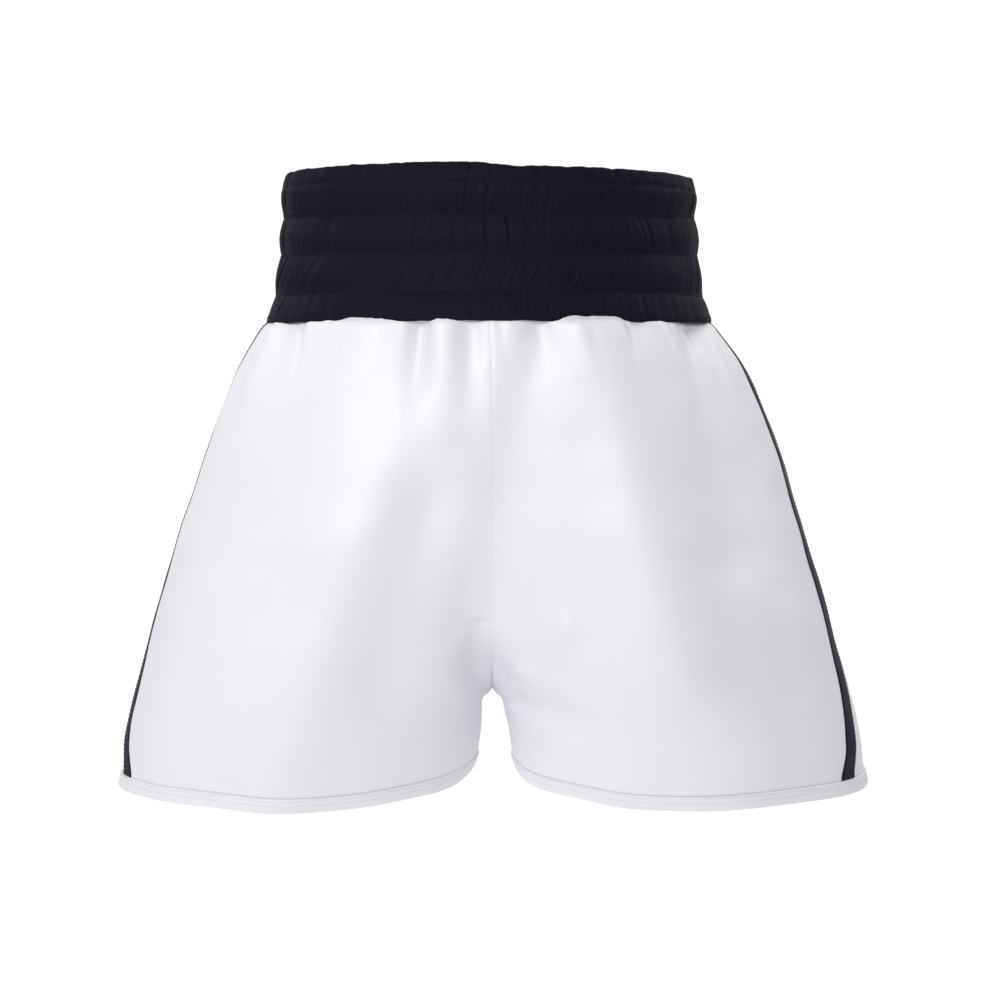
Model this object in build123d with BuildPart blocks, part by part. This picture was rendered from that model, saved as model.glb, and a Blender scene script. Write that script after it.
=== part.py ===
from build123d import *
import os
from math import atan2, cos, pi, sin

# Boxing shorts, men's size M, hanging from the waist as if worn.
# Millimetres. The origin is the centre of the waist opening, in the plane of its rim.
# +Z is up, -Y is the wearer's front, +X is the wearer's left.

os.makedirs("parts", exist_ok=True)

# Cloth and elastic
CLOTH = 1.2  # satin panel with the fullness of its gathers
CASING = 1.5  # gathered satin of the waistband
ELASTIC = 1.5
LINING = 1.0
RIBBON = 0.8  # side stripe
BINDING = 1.6  # hem, turned twice
LABEL = 0.5
PLY_GAP = 0.1  # air between two layers of the same body

# Waistband: four sewn rows. The waist opening is an ellipse.
RIM_HALF_WIDTH = 149.5
RIM_HALF_DEPTH = 99.5
BAND_SEAMS = (0.0, -29.0, -57.0, -87.0, -104.0)  # rim, three sewn lines, lower edge
BAND_SPREAD = (0.0, 0.5, 3.0, 7.0, 12.5)  # growth of the ellipse at each of those
ROW_BULGE = (3.0, 2.5, 2.0, 1.5)  # how far each ruffled row stands proud
ROW_MARGIN = 1.5  # an elastic strip stays this far from its two sewn lines

# Label, inside the back of the waistband
LABEL_WIDTH = 45.0
LABEL_TOP = -34.0
LABEL_BOTTOM = -62.0

# One half of the shorts is a tube of ellipses. Above the crotch it reaches past the centre
# plane, where the centre seams trim it. Each row gives the height, the x of the outer side,
# the x of the inner side, half the depth, and how far the middle is set back.
STATIONS = (
    (-104.0, 162.0, -162.0, 112.0, 0.0),
    (-122.0, 176.0, -168.0, 116.0, 2.0),
    (-146.0, 190.0, -172.0, 120.0, 4.0),
    (-176.0, 203.0, -170.0, 123.0, 5.0),
    (-210.0, 215.0, -155.0, 125.0, 6.0),
    (-244.0, 226.5, -130.0, 126.0, 6.0),
    (-280.0, 237.0, -93.0, 126.0, 6.0),
    (-315.0, 248.0, -54.0, 124.0, 5.0),
    (-350.0, 257.0, -22.0, 120.0, 3.0),
    (-379.0, 265.0, 0.0, 116.0, 2.0),
    (-405.0, 271.5, 9.0, 112.0, 1.0),
    (-435.0, 278.5, 15.0, 107.0, 0.0),
    (-468.0, 285.0, 19.0, 101.5, 0.0),
)
CENTRE_GAP = 0.1  # from the centre plane to the sewn edge of a panel
SIDE_GAP = 0.1  # from the side seam to the edge of a panel

# The hem is cut a little shorter on the inside of the leg.
HEM_INNER = (16.0, -438.0)
HEM_OUTER = (281.0, -445.0)
BINDING_WIDTH = 10.0

# The leg folds across a crease that rises from the crotch to the outer side of the hip.
CREASE_INNER = (0.0, -385.0)
CREASE_OUTER = (230.0, -250.0)
FOLD_HALF = 38.0  # half the width of the band of cloth that folds

# Side stripe: (y, z) of its two edges, from the waistband to the hem. The ribbon is 19 wide;
# near the hem it lies on the turn of the leg, so its edges are closer together in y.
STRIPE_FRONT = ((-14.0, -104.0), (-15.0, -160.0), (-21.0, -250.0), (-33.5, -336.0), (-60.0, -446.0))
STRIPE_REAR = ((5.0, -104.0), (4.0, -160.0), (-2.0, -250.0), (-15.5, -336.0), (-45.5, -446.0))
STRIPE_REACH = 120.0  # the stripe is wholly further out than this
BEYOND = 400.0  # larger than the shorts in any direction


def band_loft(sections):
    """Solid of the waistband through ellipses given by height and growth from the rim."""
    with BuildPart() as band:
        for height, spread in sections:
            with BuildSketch(Plane.XY.offset(height)):
                Ellipse(RIM_HALF_WIDTH + spread, RIM_HALF_DEPTH + spread)
        loft(ruled=True)
    return band.part


def plain_band(inset):
    """Waistband with straight rows, its side moved in by inset."""
    return band_loft([(seam, spread - inset) for seam, spread in zip(BAND_SEAMS, BAND_SPREAD)])


def ruffled_band():
    """Waistband whose rows stand proud between the sewn lines."""
    sections = []
    for row, bulge in enumerate(ROW_BULGE):
        for along in (0.0, 0.25, 0.5, 0.75):
            height = BAND_SEAMS[row] + along * (BAND_SEAMS[row + 1] - BAND_SEAMS[row])
            spread = BAND_SPREAD[row] + along * (BAND_SPREAD[row + 1] - BAND_SPREAD[row])
            sections.append((height, spread + bulge * sin(pi * along)))
    sections.append((BAND_SEAMS[-1], BAND_SPREAD[-1]))
    return band_loft(sections)


def half_loft(grow):
    """Solid of the left half of the shorts, its side moved out by grow."""
    with BuildPart() as half:
        for height, outer, inner, depth, back in STATIONS:
            with BuildSketch(Plane.XY.offset(height)):
                with Locations(((outer + inner) / 2, back)):
                    Ellipse((outer - inner) / 2 + grow, depth + grow)
        loft()
    return half.part


def sloping_plane(start, end):
    """Plane through two (x, z) points and the Y direction. Its normal points down."""
    run = end[0] - start[0]
    rise = end[1] - start[1]
    angle = atan2(rise, run)
    return Plane(origin=(start[0], 0, start[1]), x_dir=(0, 1, 0), z_dir=(sin(angle), 0, -cos(angle)))


def finish(part, label):
    """Name a finished piece and write it."""
    part.label = label
    export_step(part, f"parts/{label}.step")


def finish_pair(piece, name):
    """Write the left piece and its mirror image on the right."""
    finish(piece, f"left_{name}")
    finish(mirror(piece, about=Plane.YZ), f"right_{name}")


crease = sloping_plane(CREASE_INNER, CREASE_OUTER)
fold_top = crease.offset(-FOLD_HALF)
fold_bottom = crease.offset(FOLD_HALF)
hem_edge = sloping_plane(HEM_INNER, HEM_OUTER)
binding_top = hem_edge.offset(-BINDING_WIDTH)
centre_edge = Plane.YZ.offset(CENTRE_GAP)

# Waistband: the gathered outer casing
with BuildPart() as waistband_outer:
    add(ruffled_band())
    add(plain_band(CASING), mode=Mode.SUBTRACT)
finish(waistband_outer.part, "waistband_outer")

# Four elastic strips, one in each sewn channel
elastic_outside = CASING + PLY_GAP
elastic_inside = elastic_outside + ELASTIC
for row in range(len(ROW_BULGE)):
    with BuildPart() as elastic:
        add(plain_band(elastic_outside))
        add(plain_band(elastic_inside), mode=Mode.SUBTRACT)
        split(bisect_by=Plane.XY.offset(BAND_SEAMS[row] - ROW_MARGIN), keep=Keep.BOTTOM)
        split(bisect_by=Plane.XY.offset(BAND_SEAMS[row + 1] + ROW_MARGIN), keep=Keep.TOP)
    finish(elastic.part, f"elastic_row_{row + 1}")

# Lining, against the wearer
lining_outside = elastic_inside + PLY_GAP
lining_inside = lining_outside + LINING
with BuildPart() as waistband_lining:
    add(plain_band(lining_outside))
    add(plain_band(lining_inside), mode=Mode.SUBTRACT)
finish(waistband_lining.part, "waistband_lining")

# Blank label on the lining, at the middle of the back
with BuildPart() as waist_label:
    add(plain_band(lining_inside + PLY_GAP))
    add(plain_band(lining_inside + PLY_GAP + LABEL), mode=Mode.SUBTRACT)
    with BuildSketch(Plane.XZ):
        with Locations((0, (LABEL_TOP + LABEL_BOTTOM) / 2)):
            Rectangle(LABEL_WIDTH, LABEL_TOP - LABEL_BOTTOM)
    extrude(amount=-BEYOND, mode=Mode.INTERSECT)
finish(waist_label.part, "waist_label")

# The left half of the satin: one shell from the waistband to the top of the hem binding
with BuildPart() as left_shell:
    add(half_loft(0.0))
    add(half_loft(-CLOTH), mode=Mode.SUBTRACT)
    split(bisect_by=centre_edge, keep=Keep.TOP)
    split(bisect_by=binding_top, keep=Keep.BOTTOM)

# Side stripe: a ribbon on the outside of the shell, narrowed from it by its own outline
with BuildPart() as left_stripe:
    add(half_loft(PLY_GAP + RIBBON))
    add(half_loft(PLY_GAP), mode=Mode.SUBTRACT)
    split(bisect_by=binding_top, keep=Keep.BOTTOM)
    with BuildSketch(Plane.YZ.offset(STRIPE_REACH)):
        with BuildLine():
            front_edge = Spline(STRIPE_FRONT)
            rear_edge = Spline(STRIPE_REAR)
            Line(front_edge @ 0, rear_edge @ 0)
            Line(front_edge @ 1, rear_edge @ 1)
        make_face()
    extrude(amount=BEYOND, mode=Mode.INTERSECT)

# Each panel and stripe is cut at the two edges of the folding band
front_edge_plane = Plane.XZ.offset(SIDE_GAP)
back_edge_plane = Plane.XZ.offset(-SIDE_GAP)
cuts = {
    "front": (left_shell, front_edge_plane, Keep.TOP),
    "back": (left_shell, back_edge_plane, Keep.BOTTOM),
    "stripe": (left_stripe, centre_edge, Keep.TOP),
}
for cut_name, (source, side, kept) in cuts.items():
    with BuildPart() as hip:
        add(source.part)
        split(bisect_by=side, keep=kept)
        split(bisect_by=fold_top, keep=Keep.BOTTOM)
    finish_pair(hip.part, f"{cut_name}_hip")

    with BuildPart() as fold:
        add(source.part)
        split(bisect_by=side, keep=kept)
        split(bisect_by=fold_top, keep=Keep.TOP)
        split(bisect_by=fold_bottom, keep=Keep.BOTTOM)
    finish_pair(fold.part, f"{cut_name}_fold")

    with BuildPart() as leg:
        add(source.part)
        split(bisect_by=side, keep=kept)
        split(bisect_by=fold_bottom, keep=Keep.TOP)
    finish_pair(leg.part, f"{cut_name}_leg")

# Hem binding round the leg opening
with BuildPart() as hem_binding:
    add(half_loft(BINDING - CLOTH))
    add(half_loft(-CLOTH), mode=Mode.SUBTRACT)
    split(bisect_by=binding_top, keep=Keep.TOP)
    split(bisect_by=hem_edge, keep=Keep.BOTTOM)
finish_pair(hem_binding.part, "hem_binding")
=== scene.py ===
import math

import bpy
import numpy as np
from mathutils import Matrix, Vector
from mathutils.bvhtree import BVHTree


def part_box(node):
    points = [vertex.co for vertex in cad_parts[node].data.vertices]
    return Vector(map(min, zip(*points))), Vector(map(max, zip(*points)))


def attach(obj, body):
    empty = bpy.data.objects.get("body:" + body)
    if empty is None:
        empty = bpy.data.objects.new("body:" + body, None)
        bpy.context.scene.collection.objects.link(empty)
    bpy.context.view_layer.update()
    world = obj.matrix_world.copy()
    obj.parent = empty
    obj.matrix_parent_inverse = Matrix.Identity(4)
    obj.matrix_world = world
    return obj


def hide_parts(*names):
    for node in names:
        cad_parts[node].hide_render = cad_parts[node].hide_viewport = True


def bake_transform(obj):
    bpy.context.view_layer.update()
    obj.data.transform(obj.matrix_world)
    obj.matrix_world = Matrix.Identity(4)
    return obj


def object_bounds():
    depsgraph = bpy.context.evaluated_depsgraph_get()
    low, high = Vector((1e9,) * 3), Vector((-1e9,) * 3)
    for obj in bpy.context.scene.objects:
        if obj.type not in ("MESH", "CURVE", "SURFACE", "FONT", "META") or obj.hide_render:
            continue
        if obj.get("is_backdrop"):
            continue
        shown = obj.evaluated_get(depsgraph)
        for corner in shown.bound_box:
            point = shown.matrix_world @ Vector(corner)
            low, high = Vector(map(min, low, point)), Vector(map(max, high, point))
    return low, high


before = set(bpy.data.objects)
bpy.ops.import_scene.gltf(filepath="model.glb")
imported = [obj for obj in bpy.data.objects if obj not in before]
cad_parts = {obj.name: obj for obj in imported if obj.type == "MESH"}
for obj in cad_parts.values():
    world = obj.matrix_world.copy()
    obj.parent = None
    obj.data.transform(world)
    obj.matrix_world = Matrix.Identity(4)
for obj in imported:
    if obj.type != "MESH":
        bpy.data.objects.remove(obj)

# Boxing shorts: white satin, black shirred waistband, navy side stripes.
# Metres. +Z is up, -Y is the wearer's front, +X is the wearer's left.

cad_low, cad_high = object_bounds()
MM = 0.001

# ---------------------------------------------------------------- places read from the frame
SEAT = "seat"
SIDES = {"left": 1.0, "right": -1.0}
ROWS = 4
PARTS = ("hip", "fold", "leg")


def node_tree(*names):
    """Ray-casting tree of some CAD nodes."""
    points, faces = [], []
    for name in names:
        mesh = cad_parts[name].data
        start = len(points)
        points += [vertex.co.copy() for vertex in mesh.vertices]
        faces += [[start + corner for corner in face.vertices] for face in mesh.polygons]
    return BVHTree.FromPolygons(points, faces)


half_names = [f"left_{face}_{part}" for face in ("front", "back") for part in PARTS]
half_tree = node_tree(*half_names, "left_hem_binding")
band_tree = node_tree("waistband_outer")
lining_tree = node_tree("waistband_lining")
band_low, band_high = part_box("waistband_outer")
leg_low, leg_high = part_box("left_hem_binding")
row_boxes = [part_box(f"elastic_row_{row + 1}") for row in range(ROWS)]
RIM = band_high.z
BAND_EDGE = band_low.z
between_rows = [(row_boxes[i][0].z + row_boxes[i + 1][1].z) / 2 for i in range(ROWS - 1)]
SEAMS = [RIM, *between_rows, BAND_EDGE]

# The hem rises towards the inside of the leg; the binding is a strip along it.
binding_points = np.array([v.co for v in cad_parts["left_hem_binding"].data.vertices])
HEM_INNER_X, HEM_OUTER_X = leg_low.x, leg_high.x
near_inner = binding_points[:, 0] < HEM_INNER_X + 4 * MM
near_outer = binding_points[:, 0] > HEM_OUTER_X - 4 * MM
HEM_INNER_Z = binding_points[near_inner, 2].min()
HEM_OUTER_Z = binding_points[near_outer, 2].min()
HEM_SLOPE = (HEM_OUTER_Z - HEM_INNER_Z) / (HEM_OUTER_X - HEM_INNER_X)
BINDING_WIDTH = 10 * MM

# Height of the crotch, where a sloping crease between the seat and the leg starts.
CROTCH_Z = -379 * MM


# ---------------------------------------------------------------- small tools
TINY = 1e-12  # keeps a length from being zero where it divides


def smooth(x):
    """Smooth step from 0 to 1."""
    x = np.clip(x, 0, 1)
    return x * x * (3 - 2 * x)


def wander(seed, x, period=None):
    """Smooth random curve between -1 and 1, one knot for each whole number of x."""
    knots = np.random.default_rng(seed).uniform(-1, 1, 4096)
    count = len(knots) if period is None else period
    low = np.floor(x).astype(int)
    share = smooth(x - low)
    return knots[low % count] * (1 - share) + knots[(low + 1) % count] * share


def lumps(seed, points, size, waves=14):
    """Smooth random field in space, between about -1 and 1, with features of one size."""
    rng = np.random.default_rng(seed)
    total = np.zeros(points.shape[:-1])
    for _ in range(waves):
        direction = rng.normal(size=3)
        direction /= np.linalg.norm(direction)
        pitch = size * rng.uniform(0.8, 1.6)
        total += np.sin(points @ direction * 2 * math.pi / pitch + rng.uniform(0, 2 * math.pi))
    return total / math.sqrt(waves)


def grid_faces(rows, columns, closed=False):
    """Quads of a grid of points, optionally closed round its columns."""
    faces = []
    for i in range(rows - 1):
        for j in range(columns if closed else columns - 1):
            k = (j + 1) % columns
            this, following = i * columns, (i + 1) * columns
            faces.append((this + j, this + k, following + k, following + j))
    return faces


def make_piece(name, points, faces, material):
    """Mesh object from points and faces, smooth shaded, with outward faces."""
    mesh = bpy.data.meshes.new(name)
    mesh.from_pydata([tuple(p) for p in np.asarray(points).reshape(-1, 3)], [], faces)
    mesh.validate()
    mesh.polygons.foreach_set("use_smooth", [True] * len(mesh.polygons))
    middle = Vector(np.asarray(points).reshape(-1, 3).mean(axis=0))
    if sum(face.normal.dot(face.center - middle) * face.area for face in mesh.polygons) < 0:
        mesh.flip_normals()
    mesh.materials.append(material)
    piece = bpy.data.objects.new(name, mesh)
    bpy.context.scene.collection.objects.link(piece)
    return piece


def normals_of(grid, closed=False):
    """Unit normals of a grid of points, from its neighbours."""
    down = np.gradient(grid, axis=0)
    if closed:
        across = (np.roll(grid, -1, axis=1) - np.roll(grid, 1, axis=1)) / 2
    else:
        across = np.gradient(grid, axis=1)
    normal = np.cross(across, down)
    return normal / np.maximum(np.linalg.norm(normal, axis=-1, keepdims=True), TINY)


def thick_sheet(grid, normal, thickness, closed=False):
    """Points and faces of a grid given thickness on its inner side, with its rims closed."""
    rows, columns = grid.shape[:2]
    inner = grid - normal * thickness
    points = np.concatenate([grid.reshape(-1, 3), inner.reshape(-1, 3)])
    outer_faces = grid_faces(rows, columns, closed)
    offset = rows * columns
    faces = outer_faces + [tuple(offset + c for c in reversed(face)) for face in outer_faces]
    span = columns if closed else columns - 1
    for j in range(span):
        k = (j + 1) % columns
        faces.append((k, j, offset + j, offset + k))
        last = (rows - 1) * columns
        faces.append((last + j, last + k, offset + last + k, offset + last + j))
    if not closed:
        for i in range(rows - 1):
            a, b = i * columns, (i + 1) * columns
            faces.append((a, b, offset + b, offset + a))
            a, b = a + columns - 1, b + columns - 1
            faces.append((b, a, offset + a, offset + b))
    return points, faces


STITCH_RING = 6  # points round a stitch
STITCH_STATIONS = (  # share of its length, then thickness and height as shares of its width
    (0.0, 0.45, -0.35),
    (0.18, 1.0, 0.25),
    (0.82, 1.0, 0.25),
    (1.0, 0.45, -0.35),
)
STITCH_FLATNESS = 1.25
LOOK_AHEAD = 0.3 * MM


def stitch_run(path, normal, length, gap, width):
    """Points and faces of a line of stitches that lies along a path of points."""
    steps = np.linalg.norm(np.diff(path, axis=0), axis=1)
    along = np.concatenate([[0], np.cumsum(steps)])

    def at(place, vectors):
        return np.array([np.interp(place, along, vectors[:, axis]) for axis in range(3)])

    ring = STITCH_RING
    points, faces = [], []
    for start in np.arange(gap, along[-1] - length, length + gap):
        base = len(points)
        for share, fat, lift in STITCH_STATIONS:
            here = start + share * length
            centre, up = at(here, path), at(here, normal)
            ahead = at(here + LOOK_AHEAD, path) - centre
            ahead /= max(np.linalg.norm(ahead), TINY)
            side = np.cross(up, ahead)
            side /= max(np.linalg.norm(side), TINY)
            for corner in range(ring):
                angle = 2 * math.pi * corner / ring
                reach = side * math.cos(angle) * STITCH_FLATNESS + up * math.sin(angle)
                points.append(centre + up * lift * width + reach * fat * width / 2)
        last = base + (len(STITCH_STATIONS) - 1) * ring
        for a in range(base, last, ring):
            for corner in range(ring):
                other = (corner + 1) % ring
                faces.append((a + corner, a + other, a + ring + other, a + ring + corner))
        faces.append(tuple(base + corner for corner in reversed(range(ring))))
        faces.append(tuple(last + corner for corner in range(ring)))
    return points, faces


def join_runs(runs):
    """One list of points and faces from several."""
    points, faces = [], []
    for run_points, run_faces in runs:
        start = len(points)
        points += list(run_points)
        faces += [tuple(start + corner for corner in face) for face in run_faces]
    return points, faces


# ---------------------------------------------------------------- materials
class Nodes:
    """Node tree of a new material, with short ways to add and link nodes."""

    def __init__(self, name):
        self.material = bpy.data.materials.new(name)
        self.material.use_nodes = True
        self.tree = self.material.node_tree
        self.shader = self.tree.nodes["Principled BSDF"]

    def add(self, kind, **values):
        node = self.tree.nodes.new(kind)
        for key, value in values.items():
            if hasattr(node, key):
                setattr(node, key, value)
            else:
                node.inputs[key.replace("_", " ")].default_value = value
        return node

    def link(self, source, socket):
        self.tree.links.new(source, socket)

    def place(self, scale=(1, 1, 1)):
        """Object coordinates, stretched."""
        coordinates = self.add("ShaderNodeTexCoord")
        mapping = self.add("ShaderNodeMapping")
        mapping.inputs["Scale"].default_value = scale
        self.link(coordinates.outputs["Object"], mapping.inputs["Vector"])
        return mapping.outputs["Vector"]

    def math(self, operation, a, b):
        """Math node on two numbers or outputs."""
        node = self.add("ShaderNodeMath", operation=operation)
        for socket, value in zip(node.inputs, (a, b)):
            if isinstance(value, (int, float)):
                socket.default_value = value
            else:
                self.link(value, socket)
        return node.outputs[0]

    def blend(self, a, b, share_of_a):
        """Sum of two outputs, weighted."""
        part_a = self.math("MULTIPLY", a, share_of_a)
        part_b = self.math("MULTIPLY", b, 1 - share_of_a)
        return self.math("ADD", part_a, part_b)

    def tone(self, dark, light, share):
        """Base colour between two, by an output."""
        mix = self.add("ShaderNodeMix", data_type="RGBA")
        mix.inputs["A"].default_value = (*dark, 1)
        mix.inputs["B"].default_value = (*light, 1)
        self.link(share, mix.inputs["Factor"])
        self.link(mix.outputs["Result"], self.shader.inputs["Base Color"])

    def relief(self, height, strength, distance):
        """Bump from an output."""
        bump = self.add("ShaderNodeBump", Strength=strength, Distance=distance)
        self.link(height, bump.inputs["Height"])
        self.link(bump.outputs["Normal"], self.shader.inputs["Normal"])


def satin(name, light, dark, roughness, weave_height, slub, gleam=0.5, sheen=0.0):
    """Woven satin: long floats that shine one way, faint slubs, uneven colour and a fine weave."""
    n = Nodes(name)
    mottle = n.add("ShaderNodeTexNoise", Scale=9.0, Detail=5.0, Roughness=0.55)
    n.link(n.place(), mottle.inputs["Vector"])
    slubs = n.add("ShaderNodeTexNoise", Scale=1.0, Detail=4.0, Roughness=0.6)
    n.link(n.place((40, 40, 1300)), slubs.inputs["Vector"])
    threads = n.add("ShaderNodeTexNoise", Scale=1.0, Detail=2.0, Roughness=0.5)
    n.link(n.place((2600, 2600, 90)), threads.inputs["Vector"])
    n.tone(dark, light, n.blend(mottle.outputs["Fac"], slubs.outputs["Fac"], 0.6))
    gloss = n.math("MULTIPLY_ADD", slubs.outputs["Fac"], slub)
    gloss.node.inputs[2].default_value = roughness - slub / 2
    n.link(gloss, n.shader.inputs["Roughness"])
    weave = n.add("ShaderNodeTexWave", wave_type="BANDS", bands_direction="DIAGONAL",
                  Scale=420.0, Distortion=1.5)
    n.link(n.place(), weave.inputs["Vector"])
    n.relief(n.blend(weave.outputs["Fac"], threads.outputs["Fac"], 0.35), 0.5, weave_height)
    n.shader.inputs["Sheen Weight"].default_value = sheen
    n.shader.inputs["Sheen Roughness"].default_value = 0.35
    n.shader.inputs["Specular IOR Level"].default_value = gleam
    n.shader.inputs["Anisotropic"].default_value = 0.35
    return n.material


def knit(name, light, dark, rib, gleam=0.4):
    """Matte woven elastic or thread, ribbed along its length."""
    n = Nodes(name)
    ribs = n.add("ShaderNodeTexWave", wave_type="BANDS", bands_direction="Z",
                 Scale=rib, Distortion=0.6)
    n.link(n.place(), ribs.inputs["Vector"])
    fuzz = n.add("ShaderNodeTexNoise", Scale=900.0, Detail=3.0)
    n.link(n.place(), fuzz.inputs["Vector"])
    n.tone(dark, light, n.math("MULTIPLY", ribs.outputs["Fac"], fuzz.outputs["Fac"]))
    n.relief(ribs.outputs["Fac"], 0.6, 0.15 * MM)
    n.shader.inputs["Roughness"].default_value = 0.75
    n.shader.inputs["Specular IOR Level"].default_value = gleam
    return n.material


white_satin = satin("white_satin", (0.86, 0.85, 0.89), (0.80, 0.79, 0.83), roughness=0.50,
                    weave_height=0.05 * MM, slub=0.08, gleam=0.9)
black_satin = satin("black_satin", (0.0085, 0.0048, 0.0160), (0.0042, 0.0024, 0.0085),
                    roughness=0.60, weave_height=0.06 * MM, slub=0.12, gleam=0.09)
navy_ribbon = satin("navy_ribbon", (0.010, 0.010, 0.030), (0.006, 0.006, 0.018), roughness=0.50,
                    weave_height=0.06 * MM, slub=0.10, gleam=0.12)
label_satin = satin("label_satin", (0.80, 0.80, 0.80), (0.70, 0.70, 0.70), roughness=0.38,
                    weave_height=0.05 * MM, slub=0.08, sheen=0.15)
elastic_weave = knit("elastic_weave", (0.78, 0.78, 0.76), (0.55, 0.55, 0.53), rib=260.0)
white_thread = knit("white_thread", (0.88, 0.88, 0.90), (0.70, 0.70, 0.73), rib=900.0)
black_thread = knit("black_thread", (0.013, 0.010, 0.019), (0.006, 0.004, 0.009), rib=900.0,
                    gleam=0.12)
navy_thread = knit("navy_thread", (0.016, 0.016, 0.042), (0.009, 0.009, 0.026), rib=900.0,
                   gleam=0.12)

# ---------------------------------------------------------------- the satin body
SIDE_SAMPLES = 72
FAR = 0.8  # rays start this far out
SEAM_GAP = 0.01 * MM
BESIDE_SEAM = 0.6 * MM  # rays pass this far from a seam, since the CAD panels have a gap there
CLOTH = 0.45 * MM
ROW_STEP = 2.2 * MM
COLUMN_COUNT = 118
PANEL_PASSES = 3  # how often a panel is smoothed before it is draped
SEAM_GROOVE = 0.5 * MM
CROTCH_OPEN = 6.5 * MM  # extra half width at the top of the gap between the legs
BODY_SHIFT = 2.3 * MM  # the satin hangs this far towards the wearer's left of the waistband
LEG_SHIFT = 2.2 * MM  # and the gap between the legs this much further
VALLEY = 15 * MM  # how wide the valley between the two halves is rounded
HEM_INSET = 3.5 * MM  # the hem is this much closer to the thigh on the outer side
HEM_SAG = {-1: 6.0 * MM, 1: 3.5 * MM}  # the hem hangs lower in the middle of each panel
HEM_RISE = 5.5 * MM  # and higher beside the inseam
GATHERS = ((7, 14, 1.1), (11, 26, 1.5), (19, 50, 1.5), (36, 110, 1.0))  # pitch, reach, height in mm
TOP_WIDTH = 0.25  # length of a panel's top, along which the gathers are placed
BACK_START = 1.7  # where the back's gathers start, so that they differ from the front's
UNEVEN_HEIGHT, UNEVEN_SIZE = 0.6 * MM, 75 * MM
RIPPLE_HEIGHT, RIPPLE_SIZE = 0.14 * MM, 26 * MM
FLUTE_HEIGHT, FLUTE_SIZE = 1.1 * MM, 60 * MM  # soft flutes, drawn out down the leg
TUCK_DEPTH = 1.2 * MM  # the top of a panel goes in this far under the waistband
SEAM_SHARES = np.array([0.0, 0.0003, 0.0028, 0.0056, 0.0085])  # extra columns beside each seam

# Folds: x and z of the start, height there, x and z of the end, height there, half width.
# Millimetres. Heights above zero stand proud and those below zero are valleys.
FRONT_FOLDS = (
    (-137, -104, -6.0, -143, -176, -1.0, 10),
    (-92, -112, 3.0, -112, -240, 5.0, 32),
    (-76, -108, 2.4, -82, -150, 0.6, 8),
    (-47, -104, -9.0, -50, -172, -1.6, 10),
    (-30, -106, 2.4, -28, -176, 0.6, 11),
    (-11, -104, -4.6, -13, -190, -1.2, 10),
    (33, -104, -7.5, 38, -156, -1.0, 13),
    (60, -106, 3.0, 66, -140, 1.0, 10),
    (80, -112, 7.0, 126, -338, 17.0, 32),
    (103, -104, -4.0, 106, -140, -0.8, 9),
    (146, -106, -8.0, 178, -262, -7.0, 21),
    (160, -108, 3.4, 172, -190, 1.0, 9),
    (182, -114, -2.4, 202, -190, -0.8, 10),
    (26, -150, -4.5, -1, -322, -14.0, 27),
    (-58, -176, 4.0, -142, -408, 9.0, 30),
    (-40, -236, -7.5, -64, -345, -8.0, 28),
    (-3, -328, -3.0, -3, -356, -6.0, 10),
    (52, -318, 4.5, 22, -350, 3.6, 14),
    (20, -378, -3.0, 60, -390, -2.4, 9),
    (20, -352, 2.0, 70, -372, 1.0, 9),
    (204, -300, -1.4, 222, -430, -2.0, 18),
    (-196, -300, 1.2, -226, -420, 1.6, 22),
)
BACK_FOLDS = (
    (-120, -104, -2.2, -128, -190, -0.6, 8),
    (-84, -104, 1.8, -92, -210, 1.2, 11),
    (-48, -104, -2.4, -46, -180, -0.8, 8),
    (-22, -108, 1.6, -18, -200, 0.8, 9),
    (24, -104, -2.2, 26, -196, -0.6, 8),
    (58, -106, 2.2, 66, -240, 1.6, 14),
    (94, -104, -2.4, 118, -230, -1.4, 10),
    (138, -108, 1.6, 160, -240, 1.2, 12),
    (30, -250, 2.4, 120, -350, 3.0, 22),
    (-30, -250, 2.4, -126, -346, 3.0, 22),
    (22, -270, -3.0, 6, -350, -3.4, 14),
    (-22, -270, -3.0, -6, -350, -3.4, 14),
    (60, -370, -2.2, 120, -410, -1.8, 16),
    (-60, -370, -2.2, -116, -414, -1.8, 16),
    (180, -300, 1.4, 206, -420, 1.8, 20),
    (-176, -290, 1.4, -204, -410, 1.8, 20),
)


def hit(tree, start, direction):
    """First point where a ray meets a tree, or None."""
    place = tree.ray_cast(Vector(start), Vector(direction).normalized())[0]
    return None if place is None else np.array(place)


def hem_height(x):
    """Height of the hem's edge at a distance x from the centre plane."""
    return HEM_INNER_Z + HEM_SLOPE * (x - HEM_INNER_X)


def outline(level, across):
    """Points of the left half, at one level, from the side seam to the centre seam or inseam.
    level gives the height for an x; across is -1 for the front and +1 for the back."""
    beside = across * BESIDE_SEAM
    side = np.array([HEM_OUTER_X, 0, 0])
    for _ in range(4):
        side = hit(half_tree, (FAR, beside, level(side[0])), (-1, 0, 0))
    side[1] = across * SEAM_GAP
    middle = side[0] / 2
    edge = hit(half_tree, (BESIDE_SEAM, across * FAR, level(0)), (0, -across, 0))
    if edge is None:
        edge = hit(half_tree, (0, beside, level(HEM_INNER_X)), (1, 0, 0))
        edge[1] = across * SEAM_GAP
        end_angle = math.pi
    else:
        edge[0] = SEAM_GAP
        end_angle = math.atan2(abs(edge[1]), edge[0] - middle)
    points = [side]
    for angle in np.linspace(0, end_angle, SIDE_SAMPLES)[1:-1]:
        direction = np.array([math.cos(angle), across * math.sin(angle), 0])
        here = points[-1]
        for _ in range(3):
            start = np.array([middle, 0, level(here[0])])
            found = hit(half_tree, start + direction * FAR, -direction)
            here = here if found is None else found
        points.append(here)
    points.append(edge)
    return np.array(points)


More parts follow.
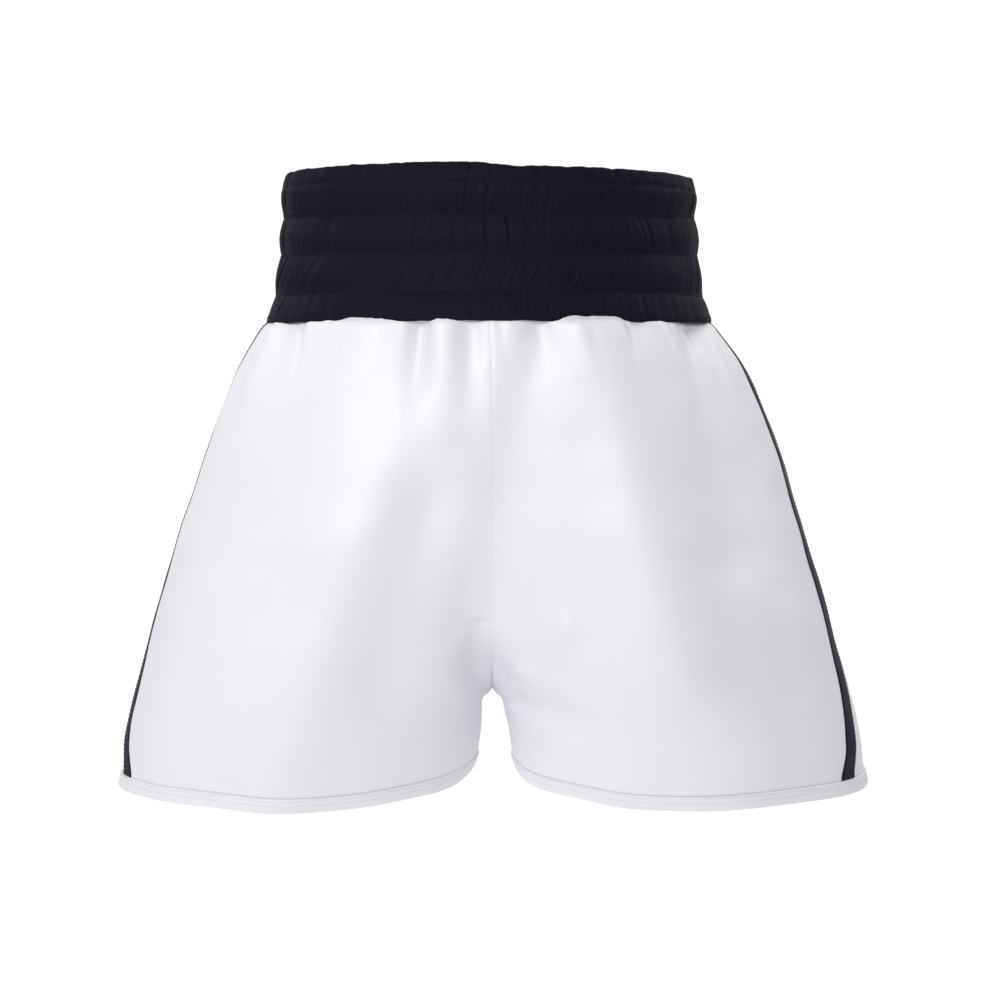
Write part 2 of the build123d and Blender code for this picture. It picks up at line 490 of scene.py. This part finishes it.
def resample(points, shares):
    """Points at given shares of the length of a run of points."""
    steps = np.linalg.norm(np.diff(points, axis=0), axis=1)
    along = np.concatenate([[0], np.cumsum(steps)])
    places = shares * along[-1]
    return np.stack([np.interp(places, along, points[:, axis]) for axis in range(3)], axis=1)


def soften(grid, passes):
    """Grid of points with its inside smoothed and its edges kept."""
    grid = grid.copy()
    for _ in range(passes):
        inside = grid[1:-1, 1:-1]
        around = grid[:-2, 1:-1] + grid[2:, 1:-1] + grid[1:-1, :-2] + grid[1:-1, 2:]
        grid[1:-1, 1:-1] = (inside * 4 + around) / 8
    return grid


inner_shares = np.linspace(0, 1, COLUMN_COUNT)[2:-2]
SHARES = np.concatenate([SEAM_SHARES, inner_shares, 1 - SEAM_SHARES[::-1]])
panel_span = BAND_EDGE - (HEM_OUTER_Z + BINDING_WIDTH)
ROW_SHARES = np.linspace(0.0012, 1.0, int(panel_span / ROW_STEP))
HEM_ROWS = np.linspace(0.0, 1.0, 9)


def round_valley(points):
    """A row that ends on the centre plane, with the two halves meeting in a rounded valley."""
    above = points[-1, 2] - CROTCH_Z
    reach = VALLEY * smooth((above - 8 * MM) / (48 * MM))
    if reach < 0.1 * MM:
        return points
    order = np.argsort(points[:, 0])
    from_centre = points[:, 0]
    moved = np.hypot(from_centre, reach * (1 - smooth(from_centre / (4 * reach))))
    points = points.copy()
    points[:, 1] = np.interp(moved, from_centre[order], points[order, 1])
    return points


def base_grids(across):
    """Grids of the left half without folds: the panel, and the hem below it."""
    def panel_level(share):
        return lambda x: BAND_EDGE + share * (hem_height(x) + BINDING_WIDTH - BAND_EDGE)

    def hem_level(share):
        return lambda x: hem_height(x) + BINDING_WIDTH * (1 - share) + 0.4 * MM * share

    panel = np.array([resample(round_valley(outline(panel_level(share), across)), SHARES)
                      for share in ROW_SHARES])
    hem = np.array([resample(outline(hem_level(share), across), SHARES) for share in HEM_ROWS])
    sag = HEM_SAG[across] * np.exp(-(((SHARES - 0.6) / 0.24) ** 2))
    sag -= HEM_RISE * smooth((SHARES - 0.82) / 0.18)
    panel[..., 2] -= sag * smooth((ROW_SHARES[:, None] - 0.6) / 0.4)
    hem[..., 2] -= sag
    return panel, hem


def fold_height(folds, x, z):
    """Height of all folds at places on the front or back."""
    total = np.zeros_like(x)
    for x0, z0, h0, x1, z1, h1, width in folds:
        run_x, run_z = x1 - x0, z1 - z0
        share = ((x / MM - x0) * run_x + (z / MM - z0) * run_z) / (run_x ** 2 + run_z ** 2)
        share = np.clip(share, 0, 1)
        gap = np.hypot(x / MM - x0 - share * run_x, z / MM - z0 - share * run_z)
        spread = width * (0.7 + 0.6 * share)
        total += (h0 + (h1 - h0) * smooth(share)) * np.exp(-((gap / spread) ** 2))
    return total * MM


def gathers(along, depth, seed):
    """Ripples where the cloth is gathered into the waistband: fine ones fade first."""
    total = np.zeros_like(along)
    for pitch, reach, height in GATHERS:
        ripple = wander(seed + pitch, along / (pitch * MM) + 300)
        total += height * ripple * np.exp(-depth / (reach * MM))
    return total * MM


def hang(grid, from_edge, sign):
    """Points of the left half moved to their own side, off centre and open at the crotch."""
    below = np.maximum(CROTCH_Z - grid[..., 2], 0)
    opening = CROTCH_OPEN * (1 - np.exp(-below / MM)) * np.exp(-below / (12 * MM))
    placed = grid.copy()
    placed[..., 0] += opening * np.exp(-from_edge / (26 * MM))
    low = smooth((CROTCH_Z - 30 * MM - grid[..., 2]) / (30 * MM))
    placed[..., 0] -= HEM_INSET * low * smooth(grid[..., 0] / FAR * 4)
    placed[..., 0] *= sign
    placed[..., 0] += BODY_SHIFT * smooth((BAND_EDGE - grid[..., 2]) / (34 * MM))
    placed[..., 0] += LEG_SHIFT * smooth(below / (28 * MM)) * np.exp(-from_edge / (60 * MM))
    return placed


def drape(grid, share, sign, across):
    """The grid of one panel or hem with its folds, gathers and seams."""
    folds = FRONT_FOLDS if across < 0 else BACK_FOLDS
    widths = np.linalg.norm(np.diff(grid, axis=1), axis=2).sum(axis=1)[:, None]
    from_side = SHARES[None, :] * widths
    from_edge = widths - from_side
    placed = hang(grid, from_edge, sign)
    normal = normals_of(placed)
    if np.sum(normal[..., 1]) * across < 0:
        normal = -normal
    depth = np.maximum(BAND_EDGE - grid[..., 2], 0)
    # Broad folds fade out at the side seam and at the inseam, where front and back must meet.
    near_inseam = smooth((CROTCH_Z + 11 * MM - grid[..., 2]) / (12 * MM))
    inseam_fade = 1 - near_inseam * (1 - smooth(from_edge / (16 * MM)))
    fade = smooth(from_side / (28 * MM)) * inseam_fade
    lift = fold_height(folds, placed[..., 0], grid[..., 2]) * fade
    along = (1 - SHARES[None, :]) * TOP_WIDTH * sign + (0 if across < 0 else BACK_START)
    seam_fade = smooth(from_side / (9 * MM)) * smooth(from_edge / (7 * MM))
    lift += gathers(np.broadcast_to(along, depth.shape), depth, 11) * seam_fade
    # Uneven cloth, and soft flutes towards the hem.
    lift += UNEVEN_HEIGHT * lumps(5, placed, UNEVEN_SIZE) * smooth(depth / (30 * MM))
    lift += RIPPLE_HEIGHT * lumps(6, placed, RIPPLE_SIZE)
    flutes = lumps(7, placed * np.array([1, 1, 0.3]), FLUTE_SIZE) * smooth((share - 0.75) / 0.25)
    lift += FLUTE_HEIGHT * flutes * inseam_fade
    # The top is held flat and goes in under the waistband.
    lift *= 0.35 + 0.65 * smooth(depth / (7 * MM))
    lift -= TUCK_DEPTH * (1 - smooth(depth / (5 * MM)))
    # Seams are grooves with a slight pucker.
    seam = np.exp(-((from_edge / (1.3 * MM)) ** 2)) + np.exp(-((from_side / (1.3 * MM)) ** 2))
    pucker = 0.16 * MM * np.sin(grid[..., 2] * 2 * math.pi / (7 * MM))
    pucker = pucker * np.exp(-from_edge / (5 * MM))
    groove = SEAM_GROOVE * (1 - smooth(depth / (80 * MM)))
    lift += pucker * seam_fade - groove * seam * (share < 1)
    # Folds do not move the cloth sideways beside the centre seam, so that the halves stay joined.
    move = normal * lift[..., None]
    sewn = np.exp(-((from_edge / (7 * MM)) ** 2)) * (placed[:, -1:, 2] > CROTCH_Z)
    move[..., 0] *= 1 - sewn
    return placed + move, normal


def swing_with(piece):
    """Bakes the piece's transform into its mesh."""
    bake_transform(piece)


TUCK = ((4.0, 3.4), (2.4, 3.0), (0.8, 1.6))  # rows above a panel: height and how far in, in mm


def tuck(grid, normal):
    """Rows added above a panel that go up inside the waistband."""
    top, outward = grid[0], normal[0]
    rows = []
    for up, inward in TUCK:
        rows.append(top + np.array([0, 0, up * MM]) - outward * inward * MM)
    grown = np.concatenate([np.array(rows), grid])
    return grown, np.concatenate([np.repeat(normal[:1], len(rows), axis=0), normal])


panels, hems = {}, {}
for face, across in (("front", -1), ("back", 1)):
    panel_base, hem_base = base_grids(across)
    panel_base = soften(panel_base, PANEL_PASSES)
    for side, sign in SIDES.items():
        whole = np.concatenate([panel_base, hem_base[1:]])
        share = np.concatenate([ROW_SHARES, 1 + HEM_ROWS[1:]])[:, None]
        draped, outward = drape(whole, share, sign, across)
        rows = len(panel_base)
        panel, panel_normal = tuck(draped[:rows], outward[:rows])
        hems[side, face] = (draped[rows - 1:], outward[rows - 1:])
        points, faces = thick_sheet(panel, panel_normal, CLOTH)
        piece = make_piece(f"{face}_{side}_panel", points, faces, white_satin)
        panels[side, face] = piece


# ---------------------------------------------------------------- hems
HEM_PLY = 0.55 * MM  # the turned hem stands proud of the panel by this
HEM_THICK = 1.5 * MM
HEM_ROLL = 0.8 * MM


def hem_ring(side):
    """Closed ring of a turned hem: outside, rolled lower edge and inside, as a loop of rows."""
    front, front_normal = hems[side, "front"]
    back, back_normal = hems[side, "back"]
    ring = np.concatenate([front, back[:, -2:0:-1]], axis=1)
    normal = np.concatenate([front_normal, back_normal[:, -2:0:-1]], axis=1)
    share = np.linspace(0, 1, len(ring))[:, None]
    puff = HEM_PLY + 0.30 * MM * np.abs(np.sin(share * 2 * math.pi)) ** 0.6
    puff = puff * smooth(share * 9 + 0.35)
    outer = ring + normal * puff[..., None]
    inner = ring - normal * (HEM_THICK - HEM_PLY)
    low_outer, low_inner = outer[-1], inner[-1]
    middle = (low_outer + low_inner) / 2
    reach = (low_outer - low_inner) / 2
    down = np.array([0, 0, -HEM_ROLL])
    roll = [middle + reach * math.cos(angle) + down * math.sin(angle)
            for angle in np.linspace(0.5, math.pi - 0.5, 4)]
    loop = np.concatenate([outer, np.array(roll), inner[::-1]])
    return loop, outer, normal


def loop_faces(rows, columns):
    """Quads of a ring whose cross-section is closed too."""
    faces = []
    for i in range(rows):
        for j in range(columns):
            k, m = (j + 1) % columns, (i + 1) % rows
            faces.append((i * columns + j, i * columns + k, m * columns + k, m * columns + j))
    return faces


hem_pieces = {}
for side in SIDES:
    loop, outer, normal = hem_ring(side)
    faces = loop_faces(loop.shape[0], loop.shape[1])
    hem = make_piece(f"{side}_hem", loop, faces, white_satin)
    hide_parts(f"{side}_hem_binding")
    runs = []
    for row in (1, 4):
        path = np.concatenate([outer[row], outer[row][:1]])
        up = np.concatenate([normal[row], normal[row][:1]])
        runs.append(stitch_run(path, up, length=2.6 * MM, gap=0.8 * MM, width=0.42 * MM))
    points, faces = join_runs(runs)
    thread = make_piece(f"{side}_hem_stitches", points, faces, white_thread)
    hem_pieces[side] = (hem, thread)

# ---------------------------------------------------------------- side stripes
STRIPE_STEP = 2.0 * MM
STRIPE_COLUMNS = 15
STRIPE_PASSES = 6
STRIPE_LEVELS = 28
STRIPE_LIFT = 0.5 * MM
STRIPE_THICK = 0.4 * MM
STRIPE_OVER = 1.0 * MM  # it stands further out over the gathers at the top
STRIPE_WIDTH = 19 * MM
DRIFT_DEPTHS = (0, 50, 120, 220, 335)  # below the waistband, in millimetres
# How far each stripe has slipped round the leg at those depths, towards the back.
STRIPE_DRIFT = {"left": (0, -5, -5, -5, -5), "right": (0, 14, 14, 11.5, 8.5)}
STITCH_INSET = 1.5 * MM

stripe_tree = node_tree(*[f"left_stripe_{part}" for part in PARTS])
stripe_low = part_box("left_stripe_leg")[0]


def stripe_edges():
    """Curves of y against z along the front and rear edges of the CAD stripe."""
    heights, fronts, rears = [], [], []
    for height in np.linspace(BAND_EDGE - 3 * MM, stripe_low.z + 3 * MM, STRIPE_LEVELS):
        wide = np.arange(stripe_low.y - 5 * MM, stripe_low.y + 80 * MM, 0.4 * MM)
        met = [y for y in wide if hit(stripe_tree, (FAR, y, height), (-1, 0, 0)) is not None]
        if met:
            heights.append(height)
            fronts.append(met[0])
            rears.append(met[-1])
    return np.polyfit(heights, fronts, 4), np.polyfit(heights, rears, 4)


front_curve, rear_curve = stripe_edges()


def panel_tree(side):
    """Ray-casting tree of the two draped panels of one side."""
    points, faces = [], []
    for face in ("front", "back"):
        mesh = panels[side, face].data
        start = len(points)
        points += [vertex.co.copy() for vertex in mesh.vertices]
        faces += [[start + corner for corner in f.vertices] for f in mesh.polygons]
    return BVHTree.FromPolygons(points, faces)


def side_place(tree, sign, y, z):
    """Place on the side of a leg, taken beside the side seam where a ray slips through it."""
    for step in (0, BESIDE_SEAM, -BESIDE_SEAM, 2 * BESIDE_SEAM):
        place = hit(tree, (sign * FAR, y + step, z), (-sign, 0, 0))
        if place is not None and place[0] * sign > HEM_INNER_X * 4:
            break
    place[1] = y
    return place


stripe_pieces = {}
for side, sign in SIDES.items():
    tree = panel_tree(side)
    lowest = hem_height(HEM_OUTER_X) + BINDING_WIDTH + 0.3 * MM
    heights = np.arange(BAND_EDGE - 0.5 * MM, lowest, -STRIPE_STEP)
    shares = np.linspace(0, 1, STRIPE_COLUMNS)
    grid = []
    for height in heights:
        drift = np.interp((BAND_EDGE - height) / MM, DRIFT_DEPTHS, STRIPE_DRIFT[side]) * MM
        front = np.polyval(front_curve, height) + drift
        rear = np.polyval(rear_curve, height) + drift
        grid.append([side_place(tree, sign, y, height) for y in front + (rear - front) * shares])
    grid = soften(np.array(grid), STRIPE_PASSES)
    normal = normals_of(grid)
    if np.sum(normal[..., 0]) * sign < 0:
        normal = -normal
    lift = STRIPE_LIFT * (0.55 + 0.45 * smooth(np.minimum(shares, 1 - shares) * 12))
    over_gathers = STRIPE_OVER * np.exp(-(BAND_EDGE - heights) / (6 * MM))
    grid = grid + normal * (lift[None, :] + over_gathers[:, None])[..., None]
    points, faces = thick_sheet(grid, normal, STRIPE_THICK)
    stripe = make_piece(f"{side}_stripe", points, faces, navy_ribbon)
    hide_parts(*[f"{side}_stripe_{part}" for part in PARTS])
    inset = int(round(STITCH_INSET / (STRIPE_WIDTH / (STRIPE_COLUMNS - 1))))
    runs = [stitch_run(grid[:, column], normal[:, column],
                       length=2.4 * MM, gap=0.8 * MM, width=0.36 * MM)
            for column in (inset, STRIPE_COLUMNS - 1 - inset)]
    points, faces = join_runs(runs)
    thread = make_piece(f"{side}_stripe_stitches", points, faces, navy_thread)
    stripe_pieces[side] = (stripe, thread)

# ---------------------------------------------------------------- waistband
BAND_COLUMNS = 1500
BAND_STEP = 1.3 * MM
BAND_PASSES = 12
HEADER = 8 * MM  # from the rim to the first sewn line
LIP = 1.4 * MM  # the lower edge stands over the gathered panels by this
RUFFLES = ((60, 0.45), (136, 0.62), (250, 0.30), (420, 0.12))  # number round a row, and height
LEANS = (0.05, -0.10, 0.55, 0.15)  # how far each row's ruffles lean
ROW_HEIGHT = (0.9, 1.1, 1.25, 0.8)
SEAM_DIPS = (0.0, 4.5, 2.5, 0.0, 0.0)  # how far each sewn line dips at the front
EDGE_DIP = 1.8 * MM  # the lower edge sags this far at the front
RIM_DIP = 3.0 * MM  # the rim is this much lower on the wearer's left


def outward_normals(grid):
    """Normals of a closed ring of points, away from the middle."""
    outward = normals_of(grid, closed=True)
    return -outward if np.sum(outward * grid * np.array([1, 1, 0])) < 0 else outward


def ring_points(tree, heights, columns):
    """Grid of points where level rays from outside meet a closed ring, from the back round."""
    turns = np.arange(columns) / columns
    angles = turns * 2 * math.pi + math.pi / 2
    grid = np.zeros((len(heights), columns, 3))
    for i, height in enumerate(heights):
        for j, angle in enumerate(angles):
            direction = np.array([math.cos(angle), math.sin(angle), 0])
            found = hit(tree, direction * FAR + np.array([0, 0, height]), -direction)
            grid[i, j] = found
    return grid, outward_normals(grid), turns


def ruffles(heights, turns, seed, fullness):
    """Height of the ruffles of a shirred band over its rows."""
    z = heights[:, None]
    q = turns[None, :]
    total = np.zeros((len(heights), len(turns)))
    for row in range(ROWS):
        top, bottom = SEAMS[row], SEAMS[row + 1]
        inside = (z <= top) & (z > bottom) if row else (z > bottom)
        within = np.clip((z - bottom) / (top - bottom), 0, 1)
        swell = np.sin(math.pi * within) ** 0.55
        if row == 0:
            tau = np.clip((z - bottom) / (top - HEADER - bottom), 0, 1)
            swell = np.maximum(np.sin(math.pi * tau), 0) ** 0.55
            frill = np.clip((z - (top - HEADER)) / HEADER, 0, 1)
            swell = swell * (frill <= 0) + 0.9 * smooth(frill * 1.4) * (frill > 0)
        lean = (LEANS[row] + 0.25 * wander(seed + row, q * 14, 14)) * (z - (top + bottom) / 2)
        rise = 0
        for count, height in RUFFLES:
            ripple = wander(seed + 10 * row + count, (q - lean) * count, count)
            rise = rise + height * (0.6 * ripple + 0.4 * (1 - 2.4 * np.abs(ripple)))
        pinch = 0.25 * wander(seed + 90 + row, q * 330, 330) * (1 - swell)
        total += inside * (swell * ROW_HEIGHT[row] * rise + pinch)
    return fullness * total * MM


heights = np.arange(RIM - 0.2 * MM, BAND_EDGE + 0.4 * MM, -BAND_STEP)
heights = np.concatenate([heights, [BAND_EDGE + 0.2 * MM]])
band, _, turns = ring_points(band_tree, heights, BAND_COLUMNS)
for _ in range(BAND_PASSES):
    band[1:-1, :, :2] = (band[:-2, :, :2] + 2 * band[1:-1, :, :2] + band[2:, :, :2]) / 4
band_normal = outward_normals(band)
lift = ruffles(heights, turns, seed=100, fullness=1.0)
sewn_lines = [(RIM - HEADER, 0.7)] + [(seam, 0.5) for seam in SEAMS[1:-1]]
pinch = sum(deep * MM * np.exp(-(((heights - line) / (1.5 * MM)) ** 2))
            for line, deep in sewn_lines)
band_skin = band + band_normal * (lift - pinch[:, None] + 0.2 * MM)[..., None]
flare = LIP * smooth((BAND_EDGE + 7 * MM - heights) / (7 * MM))
band_skin += band_normal * flare[:, None, None]
edge_wave = 0.25 * MM * wander(150, turns * 60, 60) + 0.3 * MM * wander(151, turns * 140, 140)
near_rim = smooth((heights - (RIM - 6 * MM)) / (6 * MM))[:, None]
near_edge = smooth((BAND_EDGE + 6 * MM - heights) / (6 * MM))[:, None]
band_skin[..., 2] += (near_rim - near_edge) * edge_wave[None, :]
band_front = smooth(-band[-1, :, 1] / (80 * MM))[None, :]
seam_dip = np.interp(heights, SEAMS[::-1], SEAM_DIPS[::-1]) * MM
band_skin[..., 2] -= seam_dip[:, None] * band_front
band_skin[..., 2] -= near_edge * (0.8 * MM + EDGE_DIP * band_front)
rim_share = smooth((heights[:, None] - SEAMS[1]) / (RIM - SEAMS[1]))
band_skin[..., 2] -= RIM_DIP * rim_share * smooth(band[:1, :, 0] / (40 * MM) + 0.4)


def turned_edge(edge, outward, up, depth, inward, rows):
    """Rows that turn a cloth edge over and run back inside it by depth."""
    made = []
    for angle in np.linspace(0.6, math.pi, 4):
        offset = outward * (math.cos(angle) - 1) * inward / 2
        made.append(edge + offset + np.array([0, 0, up * math.sin(angle) * inward / 2]))
    for share in np.linspace(0.15, 1, rows):
        made.append(edge - outward * inward - np.array([0, 0, up * depth * share]))
    return np.array(made)


level_out = band_normal * np.array([1, 1, 0])
level_out /= np.linalg.norm(level_out, axis=-1, keepdims=True)
over_rim = turned_edge(band_skin[0], level_out[0], 1, HEADER, 4.6 * MM, 7)
under_edge = turned_edge(band_skin[-1], level_out[-1], -1, 5 * MM, 3.0 * MM, 4)
casing_grid = np.concatenate([over_rim[::-1], band_skin, under_edge])
faces = grid_faces(len(casing_grid), BAND_COLUMNS, True)
casing = make_piece("waistband_casing", casing_grid, faces, black_satin)
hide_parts("waistband_outer")
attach(casing, SEAT)

runs = []
for line in [RIM - HEADER, *SEAMS[1:-1], BAND_EDGE + 2.6 * MM]:
    row = int(np.argmin(np.abs(heights - line)))
    path = np.concatenate([band_skin[row], band_skin[row][:1]])
    up = np.concatenate([level_out[row], level_out[row][:1]])
    runs.append(stitch_run(path, up, length=2.6 * MM, gap=1.0 * MM, width=0.5 * MM))
points, faces = join_runs(runs)
band_thread = make_piece("waistband_stitches", points, faces, black_thread)
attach(band_thread, SEAT)

# Lining: the inner face, with softer ruffles
LINING_COLUMNS = 900
LINING_THICK = 0.5 * MM
lining_heights = np.arange(RIM - 4 * MM, BAND_EDGE + 1.0 * MM, -2.0 * MM)
lining, lining_out, lining_turns = ring_points(lining_tree, lining_heights, LINING_COLUMNS)
lining_lift = ruffles(lining_heights, lining_turns, seed=300, fullness=0.45)
lining_skin = lining - lining_out * (0.5 * MM + lining_lift)[..., None]
points, faces = thick_sheet(lining_skin, lining_out, LINING_THICK, closed=True)
lining_piece = make_piece("waistband_inner_face", points, faces, black_satin)
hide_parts("waistband_lining")
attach(lining_piece, SEAT)

# Elastic strips, ribbed along their length
ELASTIC_COLUMNS = 360
ELASTIC_THICK = 1.2 * MM
RIB = 0.12 * MM
for row, (low, high) in enumerate(row_boxes):
    tree = node_tree(f"elastic_row_{row + 1}")
    strip_heights = np.linspace(high.z - 0.3 * MM, low.z + 0.3 * MM, 41)
    strip, strip_out, _ = ring_points(tree, strip_heights, ELASTIC_COLUMNS)
    ribs = RIB * np.cos(np.arange(len(strip_heights)) * math.pi)
    strip = strip + strip_out * (ribs[:, None, None] - 0.15 * MM)
    points, faces = thick_sheet(strip, strip_out, ELASTIC_THICK, closed=True)
    piece = make_piece(f"elastic_strip_{row + 1}", points, faces, elastic_weave)
    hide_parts(f"elastic_row_{row + 1}")
    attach(piece, SEAT)

# Blank care label
label_low, label_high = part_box("waist_label")
LABEL_COLUMNS, LABEL_ROWS = 46, 30
label_x = np.linspace(label_low.x, label_high.x, LABEL_COLUMNS)
label_z = np.linspace(label_high.z, label_low.z, LABEL_ROWS)
label_grid = np.zeros((LABEL_ROWS, LABEL_COLUMNS, 3))
for i, z in enumerate(label_z):
    for j, x in enumerate(label_x):
        place = hit(lining_tree, (x, 0, z), (0, 1, 0))
        loose = (i / (LABEL_ROWS - 1)) ** 2
        curl = 0.5 * math.sin(math.pi * j / (LABEL_COLUMNS - 1) * 2 + 0.6) * loose
        label_grid[i, j] = place - np.array([0, (1.9 + 1.6 * loose + curl) * MM, 0])
label_normal = np.zeros_like(label_grid)
label_normal[..., 1] = -1
points, faces = thick_sheet(label_grid, label_normal, 0.35 * MM)
label = make_piece("care_label", points, faces, label_satin)
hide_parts("waist_label")
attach(label, SEAT)
sewn_row = 2
points, faces = stitch_run(label_grid[sewn_row], label_normal[sewn_row],
                           length=2.0 * MM, gap=0.7 * MM, width=0.35 * MM)
label_thread = make_piece("care_label_stitches", points, faces, white_thread)
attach(label_thread, SEAT)

# ---------------------------------------------------------------- CAD panels hidden, transforms of the draped pieces baked
for (side, face), piece in panels.items():
    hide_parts(*[f"{side}_{face}_{part}" for part in PARTS])
    swing_with(piece)
for side in SIDES:
    for piece in (*hem_pieces[side], *stripe_pieces[side]):
        swing_with(piece)

# ---------------------------------------------------------------- hem and stripe pieces of each side, unpacked only
for side in SIDES:
    hem, thread = hem_pieces[side]
    stripe, stripe_thread = stripe_pieces[side]

# ---------------------------------------------------------------- stage, light, camera
FLOOR = cad_low.z - 0.32
STAGE_SIZE = 4.0
BEND_START = 1.4
BEND_RADIUS = 1.0


def backdrop():
    """Pale seamless floor that curves up into a wall behind."""
    profile = [(-STAGE_SIZE, FLOOR), (BEND_START, FLOOR)]
    for angle in np.linspace(0, math.pi / 2, 16)[1:]:
        rise = BEND_RADIUS * (1 - math.cos(angle))
        profile.append((BEND_START + BEND_RADIUS * math.sin(angle), FLOOR + rise))
    profile.append((BEND_START + BEND_RADIUS, FLOOR + STAGE_SIZE))
    points = [(x, y, z) for y, z in profile for x in (-STAGE_SIZE, STAGE_SIZE)]
    faces = [(2 * i, 2 * i + 1, 2 * i + 3, 2 * i + 2) for i in range(len(profile) - 1)]
    mesh = bpy.data.meshes.new("backdrop")
    mesh.from_pydata(points, [], faces)
    mesh.polygons.foreach_set("use_smooth", [True] * len(mesh.polygons))
    n = Nodes("backdrop_paper")
    n.shader.inputs["Base Color"].default_value = (0.95, 0.95, 0.95, 1)
    n.shader.inputs["Roughness"].default_value = 0.9
    mesh.materials.append(n.material)
    piece = bpy.data.objects.new("backdrop", mesh)
    bpy.context.scene.collection.objects.link(piece)
    piece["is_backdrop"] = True


def area_light(name, place, aim, size, power):
    """Soft square light at a place, pointed at a place."""
    data = bpy.data.lights.new(name, "AREA")
    data.size = size
    data.energy = power
    light = bpy.data.objects.new(name, data)
    light.location = place
    light.rotation_euler = (Vector(aim) - Vector(place)).to_track_quat("-Z", "Y").to_euler()
    bpy.context.scene.collection.objects.link(light)


backdrop()
centre = (cad_low + cad_high) / 2
area_light("key", (-0.72, -1.92, 0.62), centre, size=0.6, power=23.8)
area_light("top", (0.1, -0.2, 1.3), centre, size=1.2, power=2)
wall = BEND_START + BEND_RADIUS
area_light("wall_left", (-1.5, 0.5, 0.9), (-0.3, wall, 0.0), size=1.2, power=16.5)
area_light("wall_right", (1.5, 0.5, 0.9), (0.3, wall, 0.0), size=1.2, power=19.5)
area_light("floor", (0.4, 1.1, 0.9), (0.4, 0.75, FLOOR), size=1.6, power=7.5)

world = bpy.data.worlds.new("studio")
world.use_nodes = True
world.node_tree.nodes["Background"].inputs["Color"].default_value = (0.97, 0.97, 1.0, 1)
world.node_tree.nodes["Background"].inputs["Strength"].default_value = 0.375
bpy.context.scene.world = world
bpy.context.scene.view_settings.view_transform = "Standard"

CAMERA_DISTANCE = 1.5
CAMERA_HEIGHT = -0.155
CAMERA_PITCH = math.radians(3.1)
CAMERA_SHIFT = 0.008
camera_data = bpy.data.cameras.new("camera")
camera_data.lens = 73
camera_data.sensor_width = 36
camera = bpy.data.objects.new("camera", camera_data)
camera.location = (CAMERA_SHIFT, -CAMERA_DISTANCE, CAMERA_HEIGHT)
camera.rotation_euler = (math.pi / 2 - CAMERA_PITCH, 0, 0)
bpy.context.scene.collection.objects.link(camera)
bpy.context.scene.camera = camera

low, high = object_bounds()
